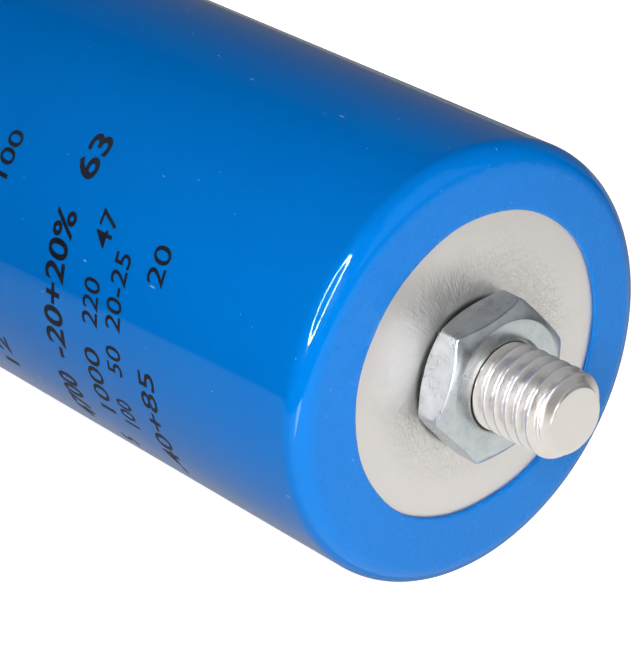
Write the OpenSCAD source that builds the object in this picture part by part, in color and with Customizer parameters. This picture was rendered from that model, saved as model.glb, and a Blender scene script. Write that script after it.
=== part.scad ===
// Aluminium electrolytic capacitor with screw terminals and a mounting stud.
// A wound element sits in a deep-drawn can, closed by a moulded cover under a curled rim.
// Every piece is drawn with the can standing on its base, terminals up, and the last
// module turns it into the frame: the stud points along +X and the terminals along -X.
// The origin is on the axis at the mounting face, which is the end of the sleeve's lap.

/* [Can] */
// Outside diameter of the bare can
can_d = 39.3; // [32:0.1:64]
// Length of the can, from its base face to the top of the curled rim
can_len = 70; // [50:1:120]
// Thickness of the can's wall
can_wall = 0.8; // [0.6:0.05:1]
// Thickness of the can's base
base_t = 2.5; // [2:0.1:4]
// Outside radius between the base and the wall
base_edge_r = 1.65; // [0.8:0.05:2]
// Inside radius between the base and the wall
base_fillet_r = 1; // [0.4:0.1:1.5]
// Radius of the groove that is rolled in below the cover
groove_r = 1.4; // [1:0.1:1.8]
// Outside radius of the curled rim
curl_r = 1.5; // [1.2:0.1:2]

/* [Stud and nut] */
// Major diameter of the stud's thread
stud_d = 8; // [6:0.5:10]
// Pitch of the stud's thread
stud_pitch = 1.25; // [1:0.05:1.5]
// Length of the stud from the can's base face
stud_len = 12; // [10:0.5:20]
// Diameter of the flat end of the stud
tip_d = 5.7; // [4:0.1:7]
// Length of the taper at the end of the stud
tip_len = 1.3; // [0.5:0.1:1.5]
// Width of the nut across its flats
nut_af = 13; // [12:0.5:17]
// Thickness of the nut
nut_h = 4; // [3:0.1:6.5]
// Diameter of the round face that the nut's chamfer leaves
nut_face_d = 11.8; // [11:0.1:14]
// Depth of the nut's chamfer, at its corners
nut_chamfer = 1; // [0.3:0.05:1]
// Depth of the countersink at each end of the nut's bore
nut_sink = 0.5; // [0.2:0.05:0.8]
// Clearance between the countersink's mouth and the crests of the stud's thread
nut_sink_gap = 0.25; // [0.1:0.05:0.5]
// Angle that the tightened nut stopped at
nut_turn = 20; // [0:1:59]

/* [Sleeve] */
// Thickness of the shrunk sleeve
sleeve_t = 0.35; // [0.2:0.05:0.5]
// Diameter of the bare metal that the sleeve leaves open on the base
sleeve_base_d = 27.8; // [20:0.2:28]
// How far the sleeve laps inwards over the rim, past the top of the curl
sleeve_lap = 1; // [0.2:0.1:1.1]

/* [Cover] */
// Thickness of the cover's edge, which rests on the groove
cover_t = 4; // [3:0.1:6]
// Radial clearance between the cover and the can, and between the cover and its ring
cover_gap = 0.1; // [0.05:0.01:0.2]
// Depth of the cover's face below the top of the rim
cover_drop = 1.3; // [0.6:0.1:1.4]
// Size of the bevel round the cover's face
cover_bevel = 0.4; // [0.1:0.1:0.6]
// Thickness of the sealing ring, from the cover's edge to the lip of the curl
ring_h = 2; // [1:0.1:3]
// How far the sealing ring reaches inwards past the lip of the curl
ring_lap = 1; // [0.5:0.1:1.5]
// Diameter of the raised boss round each terminal
boss_d = 12; // [11:0.1:14]
// Height of the boss above the cover's face
boss_h = 1; // [0.5:0.1:2]
// Clearance from each boss to the edge of the cover's face
boss_margin = 0.55; // [0.4:0.05:1]
// Length of the polarity marks
mark_len = 3; // [2:0.1:3.4]
// Width of the polarity marks
mark_w = 0.8; // [0.5:0.1:1]
// Height of the polarity marks
mark_h = 0.4; // [0.2:0.1:0.6]
// Clearance between a boss and its polarity mark
mark_gap = 1; // [0.5:0.1:1.2]

/* [Terminals] */
// Diameter of a terminal's head
head_d = 10; // [9:0.1:11]
// Height of the terminals above the rim of the can
terminal_rise = 5; // [3:0.1:8]
// Diameter of the shank that passes through the cover
shank_d = 7; // [5.8:0.1:8.4]
// Size of the bevel round a terminal's head
head_bevel = 0.4; // [0.1:0.1:0.6]
// Major diameter of the terminal's thread
screw_d = 5; // [4:0.5:6]
// Pitch of the terminal's thread
screw_pitch = 0.8; // [0.7:0.05:1]
// Depth of the tapped hole
screw_depth = 9.5; // [6:0.5:10]
// Depth of the countersink at the hole's mouth
screw_sink = 0.5; // [0.2:0.1:0.6]
// How far the riveted end of the shank stands out all round
rivet_lip = 0.7; // [0.4:0.1:1]
// Height of the riveted end
rivet_h = 0.8; // [0.5:0.1:1.2]
// Thickness of the washer under the riveted end
washer_t = 0.6; // [0.3:0.1:1]
// How far the washer reaches past the riveted end
washer_lap = 0.3; // [0.2:0.1:0.8]

/* [Vent] */
// Diameter of the vent hole in the cover
vent_d = 5; // [3:0.1:5.4]
// How far the plug's two flanges reach past the hole
vent_lap = 0.7; // [0.4:0.05:0.8]
// Thickness of the plug's flanges
vent_flange_t = 0.8; // [0.5:0.1:1]
// Diameter of the thin spot in the middle of the plug
vent_spot_d = 2.4; // [1:0.1:3]
// Depth of the thin spot
vent_spot_depth = 0.4; // [0.2:0.1:0.6]
// Clearance from the plug to the edge of the cover's face
vent_margin = 0.6; // [0.4:0.1:0.8]

/* [Winding] */
// Diameter of the hole that the winding mandrel left
mandrel_d = 5; // [3:0.1:7]
// Thickness of the closing tape
tape_t = 0.2; // [0.1:0.05:0.3]
// Width of the closing tape
tape_w = 30; // [10:1:40]
// Thickness of the insulating wrap
wrap_t = 0.25; // [0.1:0.05:0.4]
// Radial clearance between the insulating wrap and the can
wrap_gap = 0.4; // [0.2:0.1:0.8]
// Free height between the insulating disc and the groove
winding_room = 1.3; // [0.6:0.1:3]
// Thickness of the insulating disc over the winding
top_disc_t = 0.5; // [0.3:0.1:1]
// Thickness of the insulating disc under the winding
base_disc_t = 1; // [0.5:0.1:2]
// Diameter of the centring plug's flange
plug_flange_d = 12; // [9:0.5:16]
// Length of the centring plug's spigot
spigot_len = 8; // [4:0.5:15]
// Bevel at the end of the spigot
spigot_bevel = 0.8; // [0.4:0.1:1]
// Radial clearance of the centring plug in the discs and in the winding
plug_gap = 0.1; // [0.05:0.01:0.2]

/* [Tabs] */
// Thickness of the aluminium tabs
tab_t = 0.25; // [0.15:0.05:0.3]
// Width of the tabs
tab_w = 5; // [3:0.1:6]
// Inside radius of the bend in each tab
tab_bend_r = 0.6; // [0.3:0.1:0.8]
// Clearance between a tab's leg and the washer
tab_gap = 0.3; // [0.2:0.1:0.8]
// Clearance round a tab in its slot in the insulating disc
slot_gap = 0.4; // [0.2:0.1:0.6]

/* [Hidden] */
$fn = 96;

// Overshoot of the shapes that cut holes
over = 1;

// Radii of the can
can_r = can_d / 2;
bore_r = can_r - can_wall;
foot_r = can_r - base_edge_r;
lip_r = can_r - 2 * curl_r;

// Heights above the base face, from the rim down to the groove
curl_z = can_len - curl_r;
ring_z = curl_z - ring_h;
cover_z = ring_z - cover_t;
cover_r = bore_r - cover_gap;
bump_r = groove_r + can_wall;
groove_z = cover_z - sqrt(pow(bump_r, 2) - pow(can_r - cover_r, 2));

// Cover, terminals and vent
ring_in_r = lip_r - ring_lap;
face_r = ring_in_r - cover_gap;
face_z = can_len - cover_drop;
boss_z = face_z + boss_h;
terminal_z = can_len + terminal_rise;
terminal_y = face_r - boss_margin - boss_d / 2;
mark_x = boss_d / 2 + mark_gap + mark_len / 2;
vent_flange_r = vent_d / 2 + vent_lap;
vent_x = face_r - vent_margin - vent_flange_r;
rivet_r = shank_d / 2 + rivet_lip;
washer_r = rivet_r + washer_lap;
washer_z = cover_z - 2 * tab_t - washer_t;

// Threads: 60 degree form, cut at the pitch line or at the tapping drill's size
stud_r = stud_d / 2;
stud_engaged_r = stud_r - 0.3248 * stud_pitch;
screw_core_r = (screw_d - 1.0825 * screw_pitch) / 2;
drill_point_angle = 118;

// Winding and what lines the can
wrap_r = bore_r - wrap_gap;
tape_r = wrap_r - wrap_t;
winding_r = tape_r - tape_t;
winding_z = base_t + base_disc_t;
winding_top = groove_z - bump_r - winding_room - top_disc_t;
winding_len = winding_top - winding_z;
base_disc_r = bore_r - base_fillet_r;
plug_flange_r = plug_flange_d / 2;
tab_x = washer_r + tab_gap;

// Outline of a ring's section
module ring_section(outer_r, inner_r) {
    difference() {
        circle(outer_r);
        circle(inner_r);
    }
}

// Half outline of a straight-sided vessel with a rounded foot
module footed_section(r, h, edge_r) {
    square([r - edge_r, h]);
    translate([0, edge_r]) square([r, h - edge_r]);
    translate([r - edge_r, edge_r]) circle(edge_r);
}

// The part of a ring's section that lies inside a box that starts at low
module cut_section(outer_r, inner_r, low, box) {
    intersection() {
        ring_section(outer_r, inner_r);
        translate(low) square(box);
    }
}

// Half outline of the stud, from inside the base to its tapered end
module stud_section() {
    polygon([
        [0, base_t / 2],
        [stud_engaged_r, base_t / 2],
        [stud_engaged_r, -nut_h],
        [stud_r, -nut_h],
        [stud_r, tip_len - stud_len],
        [tip_d / 2, -stud_len],
        [0, -stud_len]
    ]);
}

// Half outline of the can: base, wall, rolled groove and curled rim
module can_section() {
    difference() {
        union() {
            difference() {
                union() {
                    footed_section(can_r, curl_z, base_edge_r);
                    translate([can_r - curl_r, curl_z]) circle(curl_r);
                }
                translate([0, base_t])
                footed_section(bore_r, curl_z - base_t, base_fillet_r);
                translate([can_r - curl_r, curl_z]) circle(curl_r - can_wall);
            }
            intersection() {
                translate([can_r, groove_z]) circle(bump_r);
                square([can_r, can_len]);
            }
        }
        translate([can_r, groove_z]) circle(groove_r);
    }
}

// Drawn can, in one piece with its stud
module can() {
    color("gainsboro") {
        rotate_extrude() can_section();
        rotate_extrude() stud_section();
    }
}

// Shrunk sleeve: laps under the base, lines the groove and laps over the curled rim
module sleeve() {
    color("royalblue")
    rotate_extrude() {
        translate([sleeve_base_d / 2, -sleeve_t])
        square([foot_r - sleeve_base_d / 2, sleeve_t]);
        translate([foot_r, base_edge_r])
        cut_section(
            base_edge_r + sleeve_t, base_edge_r,
            [0, -base_edge_r - sleeve_t], [base_edge_r + sleeve_t, base_edge_r + sleeve_t]
        );
        difference() {
            translate([can_r, base_edge_r]) square([sleeve_t, curl_z - base_edge_r]);
            translate([can_r, groove_z]) circle(groove_r);
        }
        translate([can_r, groove_z])
        cut_section(
            groove_r, groove_r - sleeve_t,
            [-groove_r, -groove_r], [groove_r + sleeve_t, 2 * groove_r]
        );
        translate([can_r - curl_r, curl_z])
        cut_section(
            curl_r + sleeve_t, curl_r,
            [-sleeve_lap, 0], [curl_r + sleeve_t + sleeve_lap, curl_r + sleeve_t]
        );
    }
}

// Thin hexagon nut, bevelled on both faces, seated on the base
module hex_nut() {
    corner_r = nut_af / 2 / cos(30);
    face_r = nut_face_d / 2;
    sink_r = stud_r + nut_sink_gap;
    color("silver")
    translate([0, 0, -nut_h])
    rotate([0, 0, nut_turn])
    difference() {
        intersection() {
            cylinder(r = corner_r, h = nut_h, $fn = 6);
            rotate_extrude() polygon([
                [0, 0],
                [face_r, 0],
                [corner_r, nut_chamfer],
                [corner_r, nut_h - nut_chamfer],
                [face_r, nut_h],
                [0, nut_h]
            ]);
        }
        rotate_extrude() polygon([
            [0, 0],
            [sink_r, 0],
            [stud_engaged_r, nut_sink],
            [stud_engaged_r, nut_h - nut_sink],
            [sink_r, nut_h],
            [0, nut_h]
        ]);
    }
}

// Raised bars that mark a terminal, one bar for minus and two for plus
module polarity_mark(bars) {
    for (i = [0 : bars - 1])
        rotate([0, 0, 90 * i])
        translate([-mark_w / 2, -mark_len / 2, 0])
        cube([mark_w, mark_len, mark_h]);
}

// Moulded cover: a stepped disc with a boss round each terminal and a vent hole
module cover() {
    color("dimgray")
    difference() {
        union() {
            rotate_extrude() polygon([
                [0, cover_z],
                [cover_r, cover_z],
                [cover_r, ring_z],
                [face_r, ring_z],
                [face_r, face_z - cover_bevel],
                [face_r - cover_bevel, face_z],
                [0, face_z]
            ]);
            for (side = [-1, 1])
                translate([0, side * terminal_y, face_z - cover_bevel])
                cylinder(d = boss_d, h = boss_h + cover_bevel);
            translate([mark_x, terminal_y, face_z]) polarity_mark(2);
            translate([mark_x, -terminal_y, face_z]) polarity_mark(1);
        }
        for (side = [-1, 1])
            translate([0, side * terminal_y, cover_z - over])
            cylinder(d = shank_d, h = boss_z - cover_z + 2 * over);
        translate([-vent_x, 0, cover_z - over])
        cylinder(d = vent_d, h = face_z - cover_z + 2 * over);
    }
}

// Rubber ring that the curled rim bites into
module sealing_ring() {
    color("darkslategray")
    rotate_extrude() {
        translate([ring_in_r, ring_z]) square([bore_r - ring_in_r, ring_h]);
        translate([can_r - curl_r, curl_z]) circle(curl_r - can_wall);
    }
}

// Rubber pressure-relief plug, with a flange on each side of the cover
module vent_plug() {
    stem_r = vent_d / 2;
    spot_z = face_z + vent_flange_t - vent_spot_depth;
    color("black")
    translate([-vent_x, 0, 0])
    rotate_extrude() polygon([
        [0, cover_z - vent_flange_t],
        [stem_r, cover_z - vent_flange_t],
        [vent_flange_r, cover_z],
        [stem_r, cover_z],
        [stem_r, face_z],
        [vent_flange_r, face_z],
        [vent_flange_r, face_z + vent_flange_t / 2],
        [vent_flange_r - vent_flange_t / 2, face_z + vent_flange_t],
        [vent_spot_d / 2, face_z + vent_flange_t],
        [vent_spot_d / 2, spot_z],
        [0, spot_z]
    ]);
}

// Turned terminal: tapped head on the boss, shank through the cover, end riveted over
module terminal(side) {
    head_r = head_d / 2;
    mouth_r = screw_core_r + screw_sink;
    hole_end = terminal_z - screw_depth;
    point_len = screw_core_r / tan(drill_point_angle / 2);
    color("lightgray")
    translate([0, side * terminal_y, 0])
    rotate_extrude() polygon([
        [0, washer_z - rivet_h],
        [rivet_r - rivet_h / 2, washer_z - rivet_h],
        [rivet_r, washer_z - rivet_h / 2],
        [rivet_r, washer_z],
        [shank_d / 2, washer_z],
        [shank_d / 2, boss_z],
        [head_r, boss_z],
        [head_r, terminal_z - head_bevel],
        [head_r - head_bevel, terminal_z],
        [mouth_r, terminal_z],
        [screw_core_r, terminal_z - screw_sink],
        [screw_core_r, hole_end],
        [0, hole_end - point_len]
    ]);
}

module positive_terminal() { terminal(1); }

module negative_terminal() { terminal(-1); }

// Washer between the riveted end and the tabs
module rivet_washer(side) {
    color("lightgray")
    translate([0, side * terminal_y, washer_z])
    difference() {
        cylinder(r = washer_r, h = washer_t);
        translate([0, 0, -over]) cylinder(d = shank_d, h = washer_t + 2 * over);
    }
}

module positive_washer() { rivet_washer(1); }

module negative_washer() { rivet_washer(-1); }

// Side outline of a tab, with its bend's centre at the origin
module tab_outline(leg_len) {
    outer_r = tab_bend_r + tab_t;
    difference() {
        union() {
            circle(outer_r);
            translate([0, -leg_len]) square([outer_r, leg_len]);
            translate([-tab_x, 0]) square([tab_x, outer_r]);
        }
        circle(tab_bend_r);
        translate([-tab_x - over, -leg_len - over])
        square([tab_x + tab_bend_r + over, leg_len + over]);
        translate([-tab_x - over, -over]) square([tab_x + over, tab_bend_r + over]);
    }
}

// Tab: a strip that rises from the winding, bends and ends in an eye on the shank.
// level 0 lies against the cover and level 1 under it; end is the leg's side, -1 or 1.
module tab(side, level, end) {
    eye_z = cover_z - (level + 1) * tab_t;
    bend_z = eye_z - tab_bend_r;
    color("whitesmoke")
    translate([0, side * terminal_y, 0])
    rotate([0, 0, end > 0 ? 0 : 180])
    difference() {
        union() {
            translate([0, 0, eye_z]) cylinder(r = washer_r, h = tab_t);
            translate([tab_x, tab_w / 2, bend_z])
            rotate([90, 0, 0])
            linear_extrude(tab_w) tab_outline(bend_z - winding_top);
        }
        translate([0, 0, eye_z - over]) cylinder(d = shank_d, h = tab_t + 2 * over);
    }
}

module anode_tab_upper() { tab(1, 0, 1); }

module anode_tab_lower() { tab(1, 1, -1); }

module cathode_tab_upper() { tab(-1, 0, 1); }

module cathode_tab_lower() { tab(-1, 1, -1); }

// A tube's wall, standing on z
module tube(outer_r, inner_r, z, h) {
    translate([0, 0, z])
    difference() {
        cylinder(r = outer_r, h = h);
        translate([0, 0, -over]) cylinder(r = inner_r, h = h + 2 * over);
    }
}

// Foil and paper wound into one roll
module winding() {
    color("burlywood") tube(winding_r, mandrel_d / 2, winding_z, winding_len);
}

// Tape that closes the roll, round its middle
module closing_tape() {
    color("khaki")
    tube(tape_r, winding_r, winding_z + (winding_len - tape_w) / 2, tape_w);
}

// Paper wrap between the roll and the can
module insulating_wrap() {
    color("wheat") tube(wrap_r, tape_r, winding_z, winding_len);
}

// Disc over the roll, with a slot for each tab
module top_disc() {
    slot = [tab_t + 2 * slot_gap, tab_w + 2 * slot_gap, top_disc_t + 2 * over];
    slot_x = tab_x + tab_bend_r + tab_t / 2;
    color("ivory")
    difference() {
        translate([0, 0, winding_top]) cylinder(r = wrap_r, h = top_disc_t);
        for (side = [-1, 1], end = [-1, 1])
            translate([end * slot_x, side * terminal_y, winding_top + top_disc_t / 2])
            cube(slot, center = true);
    }
}

// Disc under the roll, round the centring plug
module base_disc() {
    color("ivory") tube(base_disc_r, plug_flange_r + plug_gap, base_t, base_disc_t);
}

// Plastic plug whose spigot holds the roll's core
module centring_plug() {
    spigot_r = mandrel_d / 2 - plug_gap;
    spigot_z = winding_z + spigot_len;
    color("white")
    rotate_extrude() polygon([
        [0, base_t],
        [plug_flange_r, base_t],
        [plug_flange_r, winding_z],
        [spigot_r, winding_z],
        [spigot_r, spigot_z - spigot_bevel],
        [spigot_r - spigot_bevel, spigot_z],
        [0, spigot_z]
    ]);
}

// Lays the standing pieces down: up becomes -X, and the mounting face comes to x = 0
module in_frame() {
    translate([-sleeve_t, 0, 0]) rotate([0, -90, 0]) children();
}

in_frame() can();
in_frame() sleeve();
in_frame() hex_nut();
in_frame() cover();
in_frame() sealing_ring();
in_frame() vent_plug();
in_frame() positive_terminal();
in_frame() negative_terminal();
in_frame() positive_washer();
in_frame() negative_washer();
in_frame() anode_tab_upper();
in_frame() anode_tab_lower();
in_frame() cathode_tab_upper();
in_frame() cathode_tab_lower();
in_frame() winding();
in_frame() closing_tape();
in_frame() insulating_wrap();
in_frame() top_disc();
in_frame() base_disc();
in_frame() centring_plug();
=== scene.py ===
import math

import bmesh
import bpy
import numpy as np
from mathutils import Matrix, Vector


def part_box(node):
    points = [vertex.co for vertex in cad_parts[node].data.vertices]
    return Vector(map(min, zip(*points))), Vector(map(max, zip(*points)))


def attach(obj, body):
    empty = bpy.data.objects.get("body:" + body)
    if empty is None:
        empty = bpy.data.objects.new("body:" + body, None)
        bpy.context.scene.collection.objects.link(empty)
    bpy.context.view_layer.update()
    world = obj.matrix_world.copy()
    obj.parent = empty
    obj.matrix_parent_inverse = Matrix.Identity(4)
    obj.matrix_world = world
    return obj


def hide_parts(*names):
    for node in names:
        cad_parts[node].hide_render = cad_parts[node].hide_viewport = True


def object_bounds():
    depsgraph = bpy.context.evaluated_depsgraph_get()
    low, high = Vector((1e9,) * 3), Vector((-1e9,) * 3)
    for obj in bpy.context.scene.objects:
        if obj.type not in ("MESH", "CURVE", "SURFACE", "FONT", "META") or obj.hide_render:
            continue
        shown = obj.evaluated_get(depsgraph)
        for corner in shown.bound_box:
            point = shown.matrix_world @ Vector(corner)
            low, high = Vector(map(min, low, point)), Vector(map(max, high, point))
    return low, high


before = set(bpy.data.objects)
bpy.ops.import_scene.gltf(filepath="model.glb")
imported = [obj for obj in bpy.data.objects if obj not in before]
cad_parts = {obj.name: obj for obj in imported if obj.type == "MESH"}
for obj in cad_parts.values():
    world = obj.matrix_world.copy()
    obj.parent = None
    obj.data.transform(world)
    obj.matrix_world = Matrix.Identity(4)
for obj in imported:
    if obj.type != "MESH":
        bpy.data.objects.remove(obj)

cad_low, cad_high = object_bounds()
MM = 0.001

# ---------------------------------------------------------------------------
# Camera. The capacitor lies on its side and is seen over its base end, with the
# stud towards the viewer. Azimuth 0 looks along +Y.
AIM = Vector((-18.1, -1.7, -2.1)) * MM
AZIMUTH, ELEVATION, ROLL = math.radians(49.31), math.radians(27.94), math.radians(1.51)
DISTANCE = 272.65 * MM

camera_data = bpy.data.cameras.new("camera")
camera_data.lens = 170.5
camera_data.sensor_width = 36
camera_data.clip_start = 10 * MM
camera = bpy.data.objects.new("camera", camera_data)
bpy.context.collection.objects.link(camera)
back = Vector((
    math.sin(AZIMUTH) * math.cos(ELEVATION),
    -math.cos(AZIMUTH) * math.cos(ELEVATION),
    math.sin(ELEVATION),
))
camera.location = AIM + back * DISTANCE
camera.rotation_mode = "QUATERNION"
camera.rotation_quaternion = (
    (-back).to_track_quat("-Z", "Y") @ Matrix.Rotation(-ROLL, 3, "Z").to_quaternion()
)
bpy.context.scene.camera = camera
bpy.context.scene.view_settings.view_transform = "Standard"

# ---------------------------------------------------------------------------
# Studio. A white table top, a ring of light above and to the left of the camera, and
# white cards that show as reflections. The room elsewhere is dark, which keeps the film deep.


def linear(code):
    """An sRGB hex colour as linear red, green, blue and alpha."""
    parts = [int(code[i:i + 2], 16) / 255 for i in (1, 3, 5)]
    return [c / 12.92 if c <= 0.04045 else ((c + 0.055) / 1.055) ** 2.4 for c in parts] + [1.0]


def node(tree, kind, settings=None, links=None):
    """Adds a shader node, gives it its settings and links outputs into its sockets."""
    made = tree.nodes.new(kind)
    for name, value in (settings or {}).items():
        if isinstance(name, int) or name in made.inputs:
            made.inputs[name].default_value = value
        else:
            setattr(made, name, value)
    for name, output in (links or {}).items():
        tree.links.new(output, made.inputs[name])
    return made


def empty_material(name):
    """A material with a bare node tree and its output node."""
    material = bpy.data.materials.new(name)
    material.use_nodes = True
    material.node_tree.nodes.clear()
    return material, material.node_tree


def glow(name, code, strength):
    """A plain lit surface for the studio."""
    material, tree = empty_material(name)
    light = node(tree, "ShaderNodeEmission", {"Color": linear(code), "Strength": strength})
    node(tree, "ShaderNodeOutputMaterial", links={"Surface": light.outputs[0]})
    return material


def fading(name, code, axis, near, far, near_level, far_level):
    """A studio surface whose light runs smoothly from one level to another along an axis."""
    material, tree = empty_material(name)
    place = node(tree, "ShaderNodeTexCoord").outputs["Object"]
    axes = node(tree, "ShaderNodeSeparateXYZ", links={0: place})
    level = node(
        tree, "ShaderNodeMapRange",
        {
            "interpolation_type": "SMOOTHSTEP", "From Min": near * MM, "From Max": far * MM,
            "To Min": near_level, "To Max": far_level,
        },
        {"Value": axes.outputs[axis]},
    )
    light = node(
        tree, "ShaderNodeEmission", {"Color": linear(code)}, {"Strength": level.outputs["Result"]}
    )
    node(tree, "ShaderNodeOutputMaterial", links={"Surface": light.outputs[0]})
    return material


def card(name, corners, material):
    """A flat studio card that lights the part but isn't seen by the camera."""
    mesh = bpy.data.meshes.new(name)
    mesh.from_pydata([Vector(c) * MM for c in corners], [], [list(range(len(corners)))])
    mesh.materials.append(material)
    made = bpy.data.objects.new(name, mesh)
    bpy.context.collection.objects.link(made)
    made.visible_camera = False
    made.visible_shadow = False
    return made


FLOOR_Z, FLOOR_REACH = cad_low.z / MM, 3000
floor_corners = [
    (-FLOOR_REACH, -FLOOR_REACH), (FLOOR_REACH, -FLOOR_REACH),
    (FLOOR_REACH, FLOOR_REACH), (-FLOOR_REACH, FLOOR_REACH),
]
floor_mesh = bpy.data.meshes.new("floor")
floor_mesh.from_pydata(
    [Vector((x, y, FLOOR_Z)) * MM for x, y in floor_corners], [], [[0, 1, 2, 3]]
)
floor_paint, tree = empty_material("white_table_top")
floor_shade = node(tree, "ShaderNodeBsdfDiffuse", {"Color": linear("#F4F4F4")})
floor_light = node(tree, "ShaderNodeEmission", {"Color": linear("#FFFFFF"), "Strength": 0.8})
floor_sum = node(
    tree, "ShaderNodeAddShader", links={0: floor_shade.outputs[0], 1: floor_light.outputs[0]}
)
node(tree, "ShaderNodeOutputMaterial", links={"Surface": floor_sum.outputs[0]})
floor_mesh.materials.append(floor_paint)
floor = bpy.data.objects.new("floor", floor_mesh)
bpy.context.collection.objects.link(floor)
floor.visible_glossy = False
floor.visible_diffuse = False

# the floor itself lights nothing: these cards just under it light the part in its place
GLOW_Z = FLOOR_Z - 0.1
LEFT_LEVEL, SHADE_LEVEL = 0.45, 0.38
card(
    "table_glow_front",
    [(0, -60, GLOW_Z), (300, -60, GLOW_Z), (300, 160, GLOW_Z), (0, 160, GLOW_Z)],
    fading("table_glow_front", "#FFFEFC", "Y", 42, 112, 0.98, 0.2),
).visible_diffuse = False
card(
    "table_glow_near",
    [(0, -102, GLOW_Z), (300, -102, GLOW_Z), (300, -60, GLOW_Z), (0, -60, GLOW_Z)],
    glow("table_glow_near", "#FFFEFC", 0.98),
).visible_diffuse = False
card(
    "table_glow_left",
    [(-74, -95, GLOW_Z), (0, -102, GLOW_Z), (0, -12, GLOW_Z), (-140, -12, GLOW_Z)],
    glow("table_glow_left", "#FFFEFC", LEFT_LEVEL),
)
card(
    "table_shade",
    [(-140, -12, GLOW_Z), (0, -12, GLOW_Z), (0, 400, GLOW_Z), (-400, 400, GLOW_Z)],
    fading("table_shade", "#FFFEFC", "Y", 40, 160, SHADE_LEVEL, LEFT_LEVEL),
)
BOUNCE_Z = GLOW_Z - 1
card(
    "table_bounce",
    [(0, -300, BOUNCE_Z), (500, -300, BOUNCE_Z), (500, 400, BOUNCE_Z), (0, 400, BOUNCE_Z)],
    fading("table_bounce", "#FFFCF4", "Y", -40, 60, 0.9, 0.5),
).visible_glossy = False
card(
    "wall_glow",
    [(-420, -60, FLOOR_Z), (80, 420, FLOOR_Z), (80, 420, 280), (-420, -60, 280)],
    fading("wall_glow", "#F1F2F6", "Z", -20, 260, 0.2, 0.0),
)
card(
    "high_glow",
    [(250, -40, 60), (250, 220, 60), (180, 220, 380), (180, -40, 380)],
    glow("high_glow", "#F4F6FA", 0.5),
).visible_diffuse = False
# a glint low in front, which shows only in the film's shoulder
GLINT_Z = GLOW_Z + 0.05
card(
    "table_glint",
    [(15, -60, GLINT_Z), (34, -67, GLINT_Z), (88, -107, GLINT_Z), (52, -110, GLINT_Z)],
    glow("table_glint", "#FFE2FF", 8),
).visible_diffuse = False
# white boards for the bare metal and the cover. They light nothing else: see Boards, below
boards = [
    card(
        "board_left",
        [(-460, -80, FLOOR_Z), (-60, -440, FLOOR_Z), (-60, -440, 190), (-460, -80, 190)],
        glow("board_left", "#FBFCFF", 1.05),
    ),
    card(
        "board_front",
        [(60, -440, FLOOR_Z), (360, -110, FLOOR_Z), (360, -110, 60), (60, -440, 60)],
        glow("board_front", "#FBFCFF", 2.5),
    ),
    card(
        "board_back",
        [(-460, -80, 10), (80, 440, 10), (80, 400, 430), (-400, -80, 430)],
        glow("board_back", "#F8FAFF", 0.85),
    ),
    card(
        "board_right",
        [(80, 440, 10), (420, 160, 10), (420, 160, 260), (80, 440, 260)],
        glow("board_right", "#F8FAFF", 0.46),
    ),
    card(
        "board_end",
        [(-460, -260, GLOW_Z), (-84, -260, GLOW_Z), (-84, 300, GLOW_Z), (-460, 300, GLOW_Z)],
        glow("board_end", "#FFFFFF", 0.6),
    ),
    card(
        "board_high",
        [(260, 20, 120), (220, 300, 120), (170, 260, 380), (220, 0, 380)],
        glow("board_high", "#F8FAFF", 0.55),
    ),
]
for board in boards:
    board.visible_diffuse = False


def ring(name, direction, outer, inner, width, material, steps=64):
    """A flat ring or disc of light that faces the capacitor from LIGHT_DISTANCE."""
    axis = Vector(direction).normalized()
    side = axis.cross(Vector((0, 0, 1))).normalized()
    up = side.cross(axis)
    points = []
    for radius in (inner, outer):
        for i in range(steps):
            turn = 2 * math.pi * i / steps
            offset = side * math.cos(turn) * width + up * math.sin(turn)
            points.append(AIM + (axis * LIGHT_DISTANCE + offset * radius) * MM)
    mesh = bpy.data.meshes.new(name)
    mesh.from_pydata(
        points, [],
        [[i, (i + 1) % steps, steps + (i + 1) % steps, steps + i] for i in range(steps)],
    )
    mesh.materials.append(material)
    made = bpy.data.objects.new(name, mesh)
    bpy.context.collection.objects.link(made)
    made.visible_camera = False
    made.visible_shadow = False
    return made


LIGHT_DISTANCE = 261
# the ring shows as the narrow lens-shaped highlight on the film's shoulder
ring(
    "ring_light", (0.329, -0.744, 0.583), 96, 82, 0.68, glow("ring_glow", "#FFFDFF", 95)
).visible_diffuse = False
ring(
    "key_light", (0.7, -0.58, 0.42), 60, 4, 1, glow("key_glow", "#FFFFFF", 18.5)
).visible_glossy = False
# behind the capacitor, for the terminals
ring("end_light", (-1, 0.05, 0.14), 45, 3, 1, glow("end_glow", "#FFFFFF", 16))

world = bpy.data.worlds.new("room")
bpy.context.scene.world = world
world.use_nodes = True
# white to the camera, a soft fill for matt surfaces and nearly dark in reflections
air = world.node_tree
air.nodes.clear()
rays = node(air, "ShaderNodeLightPath")
dim = node(air, "ShaderNodeBackground", {"Color": linear("#E8EAF0"), "Strength": 0.015})
fill = node(air, "ShaderNodeBackground", {"Color": linear("#FFFFFF"), "Strength": 0.2})
white = node(air, "ShaderNodeBackground", {"Color": linear("#FFFFFF"), "Strength": 1.0})
soft = node(
    air, "ShaderNodeMixShader",
    links={0: rays.outputs["Is Diffuse Ray"], 1: dim.outputs[0], 2: fill.outputs[0]},
)
seen = node(
    air, "ShaderNodeMixShader",
    links={0: rays.outputs["Is Camera Ray"], 1: soft.outputs[0], 2: white.outputs[0]},
)
node(air, "ShaderNodeOutputWorld", links={"Surface": seen.outputs[0]})

# ---------------------------------------------------------------------------
# Can. Deep-drawn aluminium, in one piece with its stud. The thread is rolled, so
# its crests and roots are rounded. Its mouth is curled over the cover's ring.


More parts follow.
